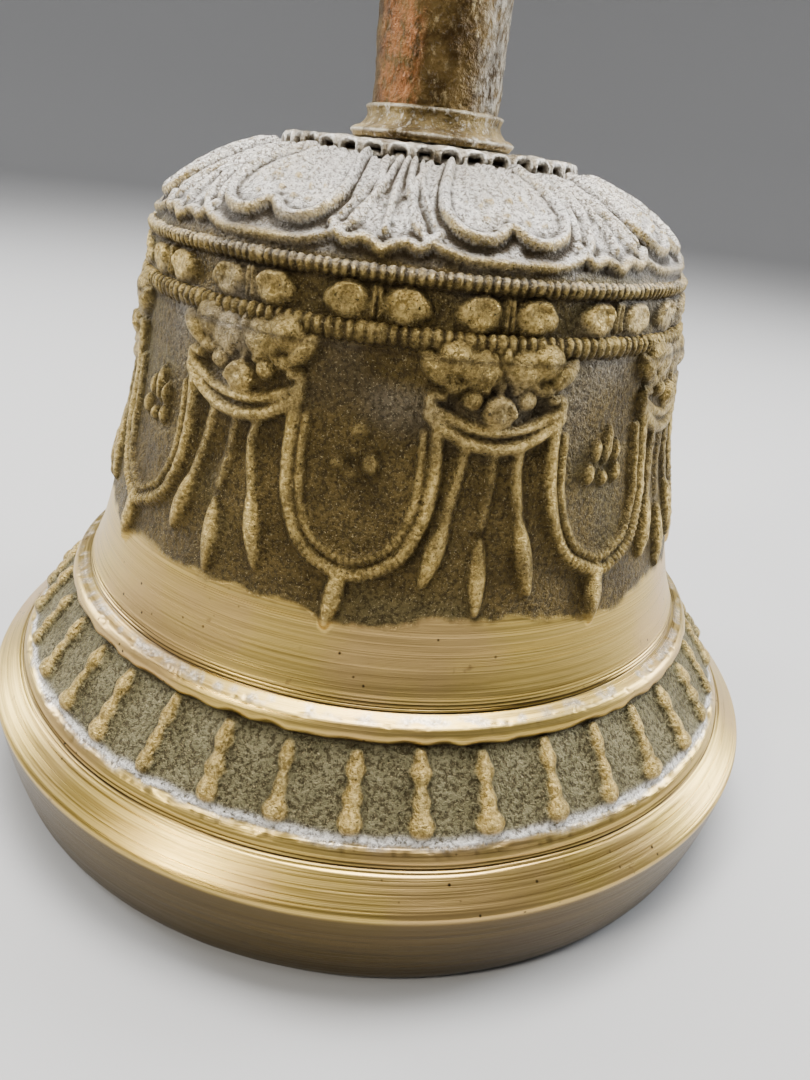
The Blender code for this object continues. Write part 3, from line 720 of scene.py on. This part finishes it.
class Canvas:
    """Relief heights on the shell: a row for each outline point, a column for each angle."""

    def __init__(self, outline, along, columns):
        self.radius, self.height = outline[:, 0], outline[:, 1]
        self.along = along
        self.angle = np.arange(columns) * 360.0 / columns
        self.relief = np.zeros((len(outline), columns))

    def draw(self, angle, reach, low, high, shape, level=None):
        """Adds shape(x, y) round an angle, on the outer rows between two levels."""
        level = self.height if level is None else level
        rows = np.flatnonzero((level >= low) & (level <= high) & self.outer)
        turn = (self.angle - angle + 180.0) % 360.0 - 180.0
        columns = np.flatnonzero(np.abs(turn) < math.degrees(reach / self.radius[rows].min()))
        x = np.radians(turn[columns])[None, :] * self.radius[rows][:, None]
        y = np.broadcast_to(level[rows][:, None], x.shape)
        window = np.ix_(rows, columns)
        self.relief[window] = np.maximum(self.relief[window], shape(x, y))


def wobble(count):
    """Small hand-made differences from one repeat to the next."""
    return RNG.uniform(-0.14, 0.14, count)


def smoothstep(value, low, high):
    t = np.clip((value - low) / (high - low), 0, 1)
    return t * t * (3 - 2 * t)


def hump(away, width):
    """1 where away is 0, fading to nothing about two widths off."""
    return np.exp(-(away / width) ** 2)


def blurred(field, reach):
    """A box blur that wraps round the bell."""
    out = np.zeros_like(field)
    for shift in range(-reach, reach + 1):
        out += np.roll(field, shift, 1)
    out /= 2 * reach + 1
    padded = np.pad(out, ((reach, reach), (0, 0)), mode="edge")
    total = np.cumsum(np.vstack([np.zeros((1, field.shape[1])), padded]), 0)
    return (total[2 * reach + 1:] - total[:-2 * reach - 1]) / (2 * reach + 1)


def narrowing(x, y):
    """Stretches the distance across a petal on its way up the dome, which narrows the petal."""
    return x * (1 + 0.03 * np.clip(y - 3, 0, 20))


def draw_ornament(canvas):
    for index in range(FACES):
        face_at = FACE_ANGLE + FACE_STEP * index + RNG.uniform(-0.4, 0.4)
        swag_at = SWAG_ANGLE + FACE_STEP * index + RNG.uniform(-0.4, 0.4)
        canvas.draw(face_at, 9.0, 46.0, 57.0, guardian_face)
        canvas.draw(face_at, 9.0, 31.5, 48.0, tassels)
        canvas.draw(swag_at, 9.0, 29.5, 50.0, swag)
        canvas.draw(swag_at, 5.0, 42.5, 50.0, lozenge_emblem if index % 2 == 0 else lump_emblem)
    for index in range(BAND_LOBES):
        canvas.draw(FACE_ANGLE + 360.0 / BAND_LOBES * index + RNG.uniform(-0.5, 0.5), 6.5, 56.6, 60.6,
                    band_lobes)
    up_skirt = canvas.distance_to(SKIRT_FOOT + 0.35)
    for index in range(SKIRT_BARS):
        canvas.draw(BAR_ANGLE + 360.0 / SKIRT_BARS * index + RNG.uniform(-0.6, 0.6), 2.6, -0.4, 8.4,
                    lambda x, y: skirt_bar(x, y - 0.2, BAR_LENGTH), level=up_skirt)
    up_dome = canvas.distance_to(CORNER)
    for index in range(FACES):
        canvas.draw(SWAG_ANGLE + FACE_STEP * index, 5.0, 0.0, DOME_REACH,
                    lambda x, y: back_petal(narrowing(x, y), y), level=up_dome)
        canvas.draw(FACE_ANGLE + FACE_STEP * index, 11.0, 0.0, DOME_REACH,
                    lambda x, y: front_petal(narrowing(x, y), y), level=up_dome)


def build_bell():
    outer_run, inner_run = bell_outline()
    outer, outer_along = resample(outer_run, row_spacing)
    inner, inner_along = resample(inner_run, lambda height, distance: 1.6)
    outline = np.vstack([outer, inner])
    along = np.concatenate([outer_along, outer_along[-1] + inner_along + 0.6])
    canvas = Canvas(outline, along, LATHE_COLUMNS)
    canvas.outer = np.arange(len(outline)) < len(outer)
    canvas.gap = np.diff(along, append=along[-1] + 1.0)[:, None]
    canvas.distance_to = lambda level: np.interp(level, outer[::-1, 1], outer_along[::-1]) - along
    draw_ornament(canvas)

    outside = canvas.outer[:, None].astype(float)
    z = canvas.height[:, None]
    angle = np.radians(canvas.angle)[None, :]
    x = canvas.radius[:, None] * np.sin(angle)
    y = -canvas.radius[:, None] * np.cos(angle)
    here = (x, y, np.broadcast_to(z, x.shape))

    edge = PATINA_EDGE + 1.3 * cloud(*here, 9.0, 3) + 0.7 * cloud(*here, 2.6, 4) + 0.3 * cloud(*here, 0.8, 22)
    filed = smoothstep(edge - z, -0.3, 0.6) * (z > TORUS_FOOT)
    lathe_cut = np.maximum(filed, smoothstep(SKIRT_FOOT - z, -0.15, 0.1))
    lathe_cut = np.where(outside > 0, lathe_cut, 0.25)
    canvas.relief = 0.5 * canvas.relief + 0.5 * blurred(canvas.relief, 1)
    relief = canvas.relief
    worn_down = 0.88 + 0.12 * cloud(*here, 6.0, 5)
    cast = (1 - lathe_cut) * outside
    uneven = cast * (0.10 * cloud(*here, 7.0, 6) + 0.06 * cloud(*here, 2.2, 7) + 0.055 * cloud(*here, 0.8, 8)
                     + 0.045 * cloud(*here, 0.42, 9))
    grooves = np.zeros_like(relief)
    for level, depth, width in ((12.72, 0.24, 0.10), (13.02, 0.14, 0.07), (12.47, 0.12, 0.06),
                                (23.62, 0.24, 0.11), (23.95, 0.20, 0.08), (24.28, 0.16, 0.07),
                                (24.62, 0.08, 0.06)):
        wander = 0.07 * cloud(x, y, np.full_like(x, level), 9.0, 21)
        grooves -= depth * hump(z - level - wander, width)
    chatter = 0.02 * cloud(x * 0.15, y * 0.15, here[2] * 4.0, 1.0, 10) * lathe_cut
    torus_pits = smoothstep(cloud(*here, 0.5, 12), 0.25, 0.7) * hump(z - 22.95, 0.26)
    step_pits = smoothstep(cloud(*here, 0.5, 13), 0.25, 0.7) * hump(z - 13.9, 0.3)
    pits = -0.05 * (torus_pits + step_pits)
    ragged = 0.20 * cloud(*here, 1.8, 23) * hump(z - 21.5, 0.5)
    ragged = ragged + 0.16 * cloud(*here, 1.6, 24) * hump(z - 14.3, 0.4)
    push = relief * worn_down + uneven + (grooves + chatter + pits + ragged) * outside

    raised = smoothstep(canvas.relief, 0.25, 1.0) * outside
    skirt = smoothstep(z, SKIRT_FOOT - 0.3, SKIRT_FOOT + 0.2) * outside
    skirt = skirt * smoothstep(TORUS_FOOT - z, -0.1, 0.3)
    raised = np.maximum(raised, smoothstep(canvas.relief, 0.25, 0.7) * skirt)
    masks = smoothstep(z, 49.0, 51.5) * smoothstep(57.2 - z, 0.0, 0.6)
    raised = raised * (1 - 0.35 * masks)
    on_dome = smoothstep(z, CORNER - 0.5, CORNER + 0.5)
    # Dark patina and painted shade: darker in dips of the relief, turned grooves and pits, and under the
    # torus and pearl rings.
    dip = np.maximum(blurred(push, 3) - push, 0.75 * (blurred(push, 6) - push))
    hollow_patina_and_shade = (0.55 + 0.45 * on_dome) * smoothstep(dip, 0.07, 0.40 - 0.20 * on_dome)
    hollow_patina_and_shade = np.maximum(hollow_patina_and_shade, smoothstep(-grooves, 0.05, 0.16) * outside)
    # Painted shade in narrow bands under the torus and the two pearl rings.
    painted_shade_under_rims = hump(z - 21.2, 0.28) + hump(z - 54.75, 0.3) * 0.7
    painted_shade_under_rims = painted_shade_under_rims + hump(z - 59.95, 0.22) * 0.8
    hollow_patina_and_shade = np.clip(hollow_patina_and_shade + painted_shade_under_rims * outside + 0.45 * (torus_pits + step_pits), 0, 1)
    # Painted shade: the dome's pale powder thins on slopes that face down, so they show the dark patina.
    painted_shade_downslope = smoothstep(np.diff(push, axis=0, append=push[:1]) / -np.maximum(canvas.gap, 0.05), 0.15, 0.8)
    dome = smoothstep(z + 0.5 * cloud(*here, 2.5, 14), CORNER - 0.2, CORNER + 2.6) * outside
    dome = dome * (1 - 0.8 * painted_shade_downslope) * (0.86 + 0.14 * cloud(*here, 3.0, 19))
    dust_line = hump(z - 14.55 + 0.25 * cloud(*here, 2.0, 15), 0.30)
    torus_dust = hump(z - 23.2, 0.22) * smoothstep(cloud(*here, 0.9, 16), -0.3, 0.4)
    soft_dust = 0.5 * smoothstep(cloud(*here, 5.0, 17), -0.2, 0.8) * smoothstep(z, 44.0, 58.0) * (1 - dome)
    dust = np.clip((dust_line * 1.1 + 0.5 * torus_dust + 0.3 * soft_dust) * outside, 0, 1)
    # Painted dark reflection on the lip's side, below its arris.
    lip_painted_reflection = smoothstep(LIP_EDGE - z, 0.0, 0.5) * smoothstep(canvas.radius[:, None], 45.0, 45.6) * outside
    lip_painted_reflection = lip_painted_reflection * (0.94 + 0.05 * cloud(*here, 14.0, 18))

    normal = outward(outline)
    radius = canvas.radius[:, None] + push * normal[:, :1]
    height = z + push * normal[:, 1:]
    shell = ring_mesh("bell_shell_relief", radius, height, LATHE_COLUMNS, bell_material(), attributes={
        "turned": lathe_cut, "raised": raised, "hollow_patina_and_shade": hollow_patina_and_shade, "dust": dust, "dome": dome, "skirt": skirt,
        "lip_painted_reflection": lip_painted_reflection})
    place(shell, "bell", "bell_bronze", "bell_shell")


def build_pearl_ring(name, radius, level, count, tall, deep, wear, crown=0.0):
    """A ring of small pearls, half sunk in the shell."""
    per_pearl, rows = 8, 16
    columns = count * per_pearl
    turn = np.arange(columns) * math.pi / per_pearl
    gap = 0.5 + 0.5 * np.cos(2 * turn)
    depth = np.repeat(RNG.uniform(0.20, 0.42, count), per_pearl)
    size = 1 - depth * gap + 0.06 * np.repeat(RNG.uniform(-1, 1, count), per_pearl)
    lap = np.radians(90.0 - np.arange(rows) * 360.0 / rows)[:, None]
    round_x = radius * np.sin(turn / count * 2)
    round_y = radius * np.cos(turn / count * 2)
    rough = 0.09 * cloud(round_x + 0 * lap, round_y + 0 * lap, 3 * lap + 0 * round_x, 0.7, 31)
    out = radius + (deep * size * (1 + 0.22 * np.sin(lap)) + rough) * np.cos(lap)
    up = level + (tall * (0.5 + 0.5 * size) + rough) * np.sin(lap)
    spread = np.broadcast_to(size, out.shape)
    zero = np.zeros_like(out)
    # Painted light: the pearls' rubbed colour is stronger on their tops, a painted highlight, and their lower
    # halves darken with painted shade.
    ring = ring_mesh(name, out, up, columns, bpy.data.materials["bell_bronze_detail"], attributes={
        "turned": zero, "raised": wear * smoothstep(spread, 0.70, 0.95) * (0.55 + 0.45 * np.sin(lap)),
        "hollow_patina_and_shade": np.maximum((1 - smoothstep(spread, 0.62, 0.84)) * 0.45,
                             0.8 * smoothstep(-np.sin(lap), 0.2, 0.9)),
        "dust": zero, "dome": crown * np.clip(np.sin(lap) * 1.2 - 0.1, 0, 1) + zero, "skirt": zero,
        "lip_painted_reflection": zero})
    place(ring, "bell", "bell_bronze")


# ---------------------------------------------------------------- the handle

def lathe_piece(name, outline, material, columns=192, spacing=0.3, rough=0.05, closed=True, relief=None,
                seed=40, grain=1.0):
    """A turned piece with a cast or worn surface. relief(angle, z, radius) adds millimetres outward."""
    line, _ = resample(np.vstack([outline, outline[:1]]) if closed else outline, lambda h, d: spacing)
    if closed:
        line = line[:-1]
    normal = outward(line, closed)
    angle = np.arange(columns) * 360.0 / columns
    turn = np.radians(angle)[None, :]
    z = line[:, 1:] + 0 * turn
    x, y = line[:, :1] * np.sin(turn), line[:, :1] * np.cos(turn)
    push = rough * (0.6 * cloud(x, y, z, 4.0 * grain, seed) + 0.5 * cloud(x, y, z, 1.6 * grain, seed + 1)
                    + 0.45 * cloud(x, y, z, 0.7 * grain, seed + 2))
    shaped = np.zeros_like(push)
    if relief is not None:
        facing = np.clip(normal[:, :1] * 1.4, 0, 1)
        shaped = relief(angle[None, :] + 0 * z, z, line[:, :1] + 0 * z) * facing
    push = (push + shaped) * smoothstep(line[:, :1], 0.0, 1.0)
    above = push - blurred(push, 3)
    radius, height = line[:, :1] + push * normal[:, :1], line[:, 1:] + push * normal[:, 1:]
    # Dips below their neighbours are darkened later (stain with painted shade); rises are rubbed bright.
    return ring_mesh(name, radius, height, columns, material, closed,
                     {"raised": smoothstep(above, 0.02, 0.16), "hollow_patina_and_shade": smoothstep(-above, 0.05, 0.22)})


def crown_relief(angle, z, radius):
    """Forty small rough arches with a deep pit under each."""
    turn = ((angle - CROWN_PIT_ANGLE + CROWN_STEP / 2) % CROWN_STEP - CROWN_STEP / 2)
    number = np.round((angle - CROWN_PIT_ANGLE) / CROWN_STEP)
    uneven = 0.10 * np.sin(number * 12.9898 + 1.0) + 0.06 * np.sin(number * 7.23)
    across = turn * math.radians(1) * CROWN_RADIUS + uneven
    up = z - CROWN_PIT_HEIGHT
    pit = np.exp(-((across / 0.62) ** 4) - ((up - uneven * 0.5) / 0.42) ** 4)
    arch = hump(np.hypot(across / 0.95, up / 0.75) - 1.0, 0.30)
    return 0.22 * arch - 0.95 * pit


def collar_rings(angle, z, radius):
    """The collar's two thin raised rims."""
    return 0.16 * hump(z - 74.25, 0.16) + 0.22 * hump(z - 71.85, 0.20)


def petal_row(count, base, tip, tall, phase=0.0, down=False):
    """Relief of a ring of lotus petals between two heights."""
    def relief(angle, z, radius):
        step = 360.0 / count
        turn = np.abs((angle - phase + step / 2) % step - step / 2) / (step / 2)
        t = np.clip((z - base) / (tip - base), 0, 1)
        width = np.sqrt(np.clip(1 - t ** 2.2, 0, 1)) * 0.94
        inside = smoothstep(width - turn, 0.0, 0.12) * (z > min(base, tip)) * (z < max(base, tip))
        border = hump((width - turn) - 0.16, 0.09) * inside
        rib = hump(turn, 0.10) * inside * (1 - t)
        return tall * (0.55 * inside + 0.45 * border + 0.3 * rib)
    return relief


def several(*reliefs):
    return lambda angle, z, radius: np.maximum.reduce([relief(angle, z, radius) for relief in reliefs])


def beads(count, level, size, tall):
    """Relief of a row of round beads."""
    def relief(angle, z, radius):
        step = 360.0 / count
        across = ((angle + step / 2) % step - step / 2) * np.pi / 180.0 * radius
        return tall * np.sqrt(np.clip(1 - (across ** 2 + (z - level) ** 2) / size ** 2, 0, 1))
    return relief


def bored(side, bore=ROD_BORE):
    """A closed outline from an outer side, top to bottom, with a straight bore."""
    return np.vstack([[(bore, side[0][1])], side, [(bore, side[-1][1])]])


def build_handle():
    dusty = cast_brass_material("crown_cast_detail", (0.16, 0.125, 0.075), (0.50, 0.45, 0.37),
                                (0.97, 0.94, 0.88), 0.6)
    ring = [(12.9, 70.7), (14.4, 70.95), (15.2, 70.85), (15.65, 70.5), (15.75, 70.0), (15.6, 69.5),
            (14.7, 69.3)]
    place(lathe_piece("crown_ring_pierced", bored(smooth_run(ring, 5)), dusty, 1200, 0.16, 0.15,
                      grain=0.55, relief=crown_relief, seed=50), "bell", "crown_bronze", "crown_ring")
    collar_brass = cast_brass_material("collar_cast_detail", (0.120, 0.082, 0.030), (0.360, 0.270, 0.120),
                                       (0.92, 0.88, 0.78), 0.55)
    collar = [(6.95, 74.5), (7.05, 74.42), (7.2, 74.2), (7.2, 73.9), (7.1, 73.6), (7.2, 73.2), (7.5, 72.75),
              (7.85, 72.4), (8.2, 72.3), (8.5, 72.1), (8.6, 71.75), (8.45, 71.25)]
    place(lathe_piece("collar_cast", bored(smooth_run(collar, 5), 6.9), collar_brass, 360, 0.14, 0.07,
                      relief=collar_rings, seed=54), "bell", "collar_brass", "handle_collar")
    # The tube gets a coppery streak and a painted silvery sheen on its right side.
    tube_brass = cast_brass_material("tube_cast_detail", (0.050, 0.030, 0.010), (0.140, 0.092, 0.032),
                                     (0.42, 0.33, 0.17), 0.10, copper_and_sheen=0.7)
    tube = [(6.55, 103.9), (6.8, 103.6), (6.8, 98.0), (6.78, 92.0), (6.74, 86.0), (6.7, 80.0), (6.7, 76.5),
            (6.75, 71.3)]
    place(lathe_piece("tube_cast", bored(smooth_run(tube, 6), 4.7), tube_brass, 360, 0.16, 0.15,
                      grain=0.8, seed=58), "bell", "tube_brass", "handle_tube")
    gilt = cast_brass_material("gilt_cast_detail", (0.110, 0.070, 0.026), (0.420, 0.290, 0.110),
                               (0.78, 0.60, 0.30), 0.12)
    for name, low, high, waist, belly, seed in (("knop_ring_lower", 104.35, 108.15, 6.8, 9.2, 62),
                                                ("knop_ring_upper", 122.35, 125.35, 6.4, 8.8, 66)):
        middle = (low + high) / 2
        side = [(waist, high), (waist + 0.6, high - 0.25), (belly - 0.95, middle + 0.95),
                (belly - 0.7, middle), (belly - 0.95, middle - 0.95), (waist + 0.6, low + 0.25),
                (waist, low)]
        place(lathe_piece(name + "_beaded", bored(smooth_run(side, 4)), gilt, 480, 0.14, 0.05,
                          relief=beads(20, middle, 0.82, 0.75), seed=seed), "bell", "gilt_brass", name)
    vase = [(6.3, 121.95), (6.35, 121.2), (5.95, 120.3), (5.9, 119.3), (6.7, 118.2), (8.1, 116.4),
            (9.0, 114.6), (9.2, 113.0), (8.6, 111.2), (7.4, 109.9), (6.6, 109.2), (6.4, 108.5)]
    place(lathe_piece("vase_lobed", bored(smooth_run(vase, 5)), gilt, 360, 0.16, 0.05, seed=70,
                      relief=several(petal_row(8, 109.6, 113.6, 0.42), petal_row(8, 118.0, 113.9, 0.42, 22.5),
                                     beads(28, 120.6, 0.5, 0.4))), "bell", "gilt_brass", "handle_vase")
    hub = [(8.2, 136.75), (8.9, 136.3), (9.5, 135.0), (9.1, 133.6), (7.9, 132.2), (7.0, 131.0), (7.9, 129.9),
           (9.1, 128.6), (9.4, 127.4), (8.6, 126.2), (7.7, 125.8)]
    place(lathe_piece("lotus_hub_petals", bored(smooth_run(hub, 5)), gilt, 384, 0.15, 0.05, seed=74,
                      relief=several(petal_row(8, 131.9, 136.2, 0.45), petal_row(8, 130.1, 126.3, 0.45, 22.5),
                                     beads(24, 131.0, 0.55, 0.55))), "bell", "gilt_brass", "lotus_hub")


def swept(name, centres, directions, halves, angle_out, material, sides=24):
    """A bar along a curve in one upright plane, with a soft four-edged section."""
    lap = np.radians(np.arange(sides) * 360.0 / sides)
    shape = 1.0 / (np.abs(np.cos(lap)) ** 1.35 + np.abs(np.sin(lap)) ** 1.35) ** (1 / 1.35)
    along = np.array(directions) / np.hypot(*np.array(directions).T)[:, None]
    across = np.stack([along[:, 1], -along[:, 0]], 1)
    reach = np.array(halves)[:, None]
    out = np.array(centres)[:, :1] + reach * shape * np.cos(lap) * across[:, :1]
    up = np.array(centres)[:, 1:] + reach * shape * np.cos(lap) * across[:, 1:]
    side = reach * shape * np.sin(lap)
    rough = 0.05 * cloud(out, side, up, 1.3, 80)
    out = out + rough * np.cos(lap)
    side = side + rough * np.sin(lap)
    c, sn = math.cos(angle_out), math.sin(angle_out)
    points = np.stack([out * c - side * sn, out * sn + side * c, up], -1)[::-1]
    wear = np.broadcast_to(smoothstep(shape, 0.86, 0.99), out.shape)
    return grid_mesh(name, points, material, closed=False,
                     attributes={"raised": wear, "hollow_patina_and_shade": np.zeros_like(out)})


def prong_centreline(steps):
    """Radius and height up an outer prong, root to tip: out in a bulge and back in."""
    root, foot, tip = 137.1, 139.1, 177.0
    line = [(6.0, root)]
    for index in range(steps):
        t = index / (steps - 1)
        line.append((6.0 - 3.1 * t + 7.6 * math.sin(math.pi * t ** 0.85) ** 1.25, foot + (tip - foot) * t))
    return line


def build_prongs():
    brass = cast_brass_material("prong_cast_detail", (0.110, 0.070, 0.026), (0.440, 0.310, 0.120),
                                (0.80, 0.63, 0.33), 0.10)
    line = np.array(prong_centreline(90))
    heading = np.gradient(line, axis=0)
    share = np.linspace(0, 1, len(line))
    half = 2.05 - 1.1 * share
    half = half + 0.50 * hump(share - 0.17, 0.025) + 0.35 * hump(share - 0.25, 0.02)
    half = half + 0.40 * hump(share - 0.62, 0.05)
    half = half * np.sqrt(np.clip((1.02 - share) / 0.06, 0, 1))
    for index in range(4):
        name = f"prong_outer_{index + 1}"
        prong = swept(name + "_cast", line, heading, half, math.radians(45 + 90 * index), brass)
        place(prong, "bell", "prong_brass", name)
    side = [(0.02, 181.95), (0.5, 181.6), (1.0, 180.6), (1.5, 176.6), (1.9, 171.0), (3.0, 163.0),
            (3.4, 157.0), (2.6, 151.8), (3.6, 149.7), (3.75, 148.8), (3.6, 147.9), (2.9, 146.6),
            (3.3, 143.6), (3.6, 140.0), (3.6, 137.15)]
    socket = [(ROD_BORE, 137.1), (ROD_BORE, 143.7), (0.02, 143.7)]
    outline = np.vstack([smooth_run(side, 5), socket])

    def facets(angle, z, radius):
        body = smoothstep(z, 150.5, 154.0) * smoothstep(182.0 - z, 1.0, 6.0)
        return body * 0.28 * radius / 3.4 * (np.abs(np.cos(np.radians(2 * angle))) ** 6 - 0.3)

    centre = lathe_piece("prong_centre_cast", outline, brass, 144, 0.25, 0.05, closed=False, seed=84,
                         relief=several(facets, beads(14, 148.8, 0.6, 0.5)))
    place(centre, "bell", "prong_brass", "prong_centre")


# ---------------------------------------------------------------- hardware inside the bell

def build_hardware():
    washer = cast_brass_material("washer_detail", (0.12, 0.08, 0.035), (0.40, 0.29, 0.13),
                                 (0.70, 0.56, 0.32), 0.1)
    steel = steel_material("steel_detail", (0.40, 0.39, 0.37), (0.16, 0.085, 0.045), 0.32)
    iron = steel_material("iron_detail", (0.115, 0.105, 0.100), (0.13, 0.060, 0.030), 0.48)
    ring = [(8.0, 65.4), (8.45, 65.3), (8.6, 65.0), (8.6, 64.5), (8.3, 64.05), (7.9, 64.0)]
    place(lathe_piece("inner_washer_worn", bored(ring), washer, 128, 0.3, 0.03, seed=90),
          "bell", "washer_brass", "inner_washer")
    nut = [(3.05, 56.1), (3.4, 55.9), (3.5, 55.6), (3.5, 54.0), (3.3, 53.6), (3.0, 53.4)]
    place(lathe_piece("end_nut_worn", bored(nut), steel, 96, 0.25, 0.02, seed=92),
          "bell", "steel", "end_nut")
    thread = [(0.02, 143.4), (1.6, 143.4), (2.0, 143.0), (2.0, 98.0), (2.0, 53.0), (1.6, 52.6), (0.02, 52.6)]

    def screw(angle, z, radius):
        return -0.12 * np.abs((z - angle / 360.0) % 1.0 - 0.5) * 2 * smoothstep(66.0 - z, 0, 1)

    place(lathe_piece("through_rod_threaded", np.array(thread), steel, 48, 0.2, 0.02, closed=False, seed=94,
                      relief=screw), "bell", "steel", "through_rod")
    angles = np.pi * np.arange(1, 24) / 24
    ball = np.stack([7.0 * np.sin(angles) ** 0.9, 12.4 + 6.58 * np.cos(angles)], 1)
    ball = ball[ball[:, 0] > 3.0]
    head = np.vstack([[(STEM_BORE, 18.95), (2.6, 18.95)], ball, [(2.4, 5.85), (STEM_BORE, 5.85)]])
    place(lathe_piece("clapper_head_cast", head, iron, 128, 0.35, 0.10, seed=96),
          "clapper", "iron", "clapper_head")
    cap = [(2.9, 5.35), (3.15, 5.15), (3.2, 4.8), (3.1, 4.3), (2.7, 4.02)]
    place(lathe_piece("clapper_nut_worn", bored(cap, STEM_BORE), steel, 64, 0.25, 0.02, seed=98),
          "clapper", "steel", "clapper_nut")
    kept = {"clamp_nut": steel, "hanger": steel, "hanger_pin": steel, "clapper_stem": iron}
    for name, material in kept.items():
        for slot in bpy.data.objects[name].material_slots:
            slot.material = material


make_camera()
make_studio()
build_bell()
build_pearl_ring("pearl_ring_lower", 29.45, LOWER_PEARLS, 202, 1.05, 0.72, 0.75)
build_pearl_ring("pearl_ring_upper", 28.75, UPPER_PEARLS, 231, 0.80, 0.72, 1.0, crown=0.25)
build_handle()
build_prongs()
build_hardware()
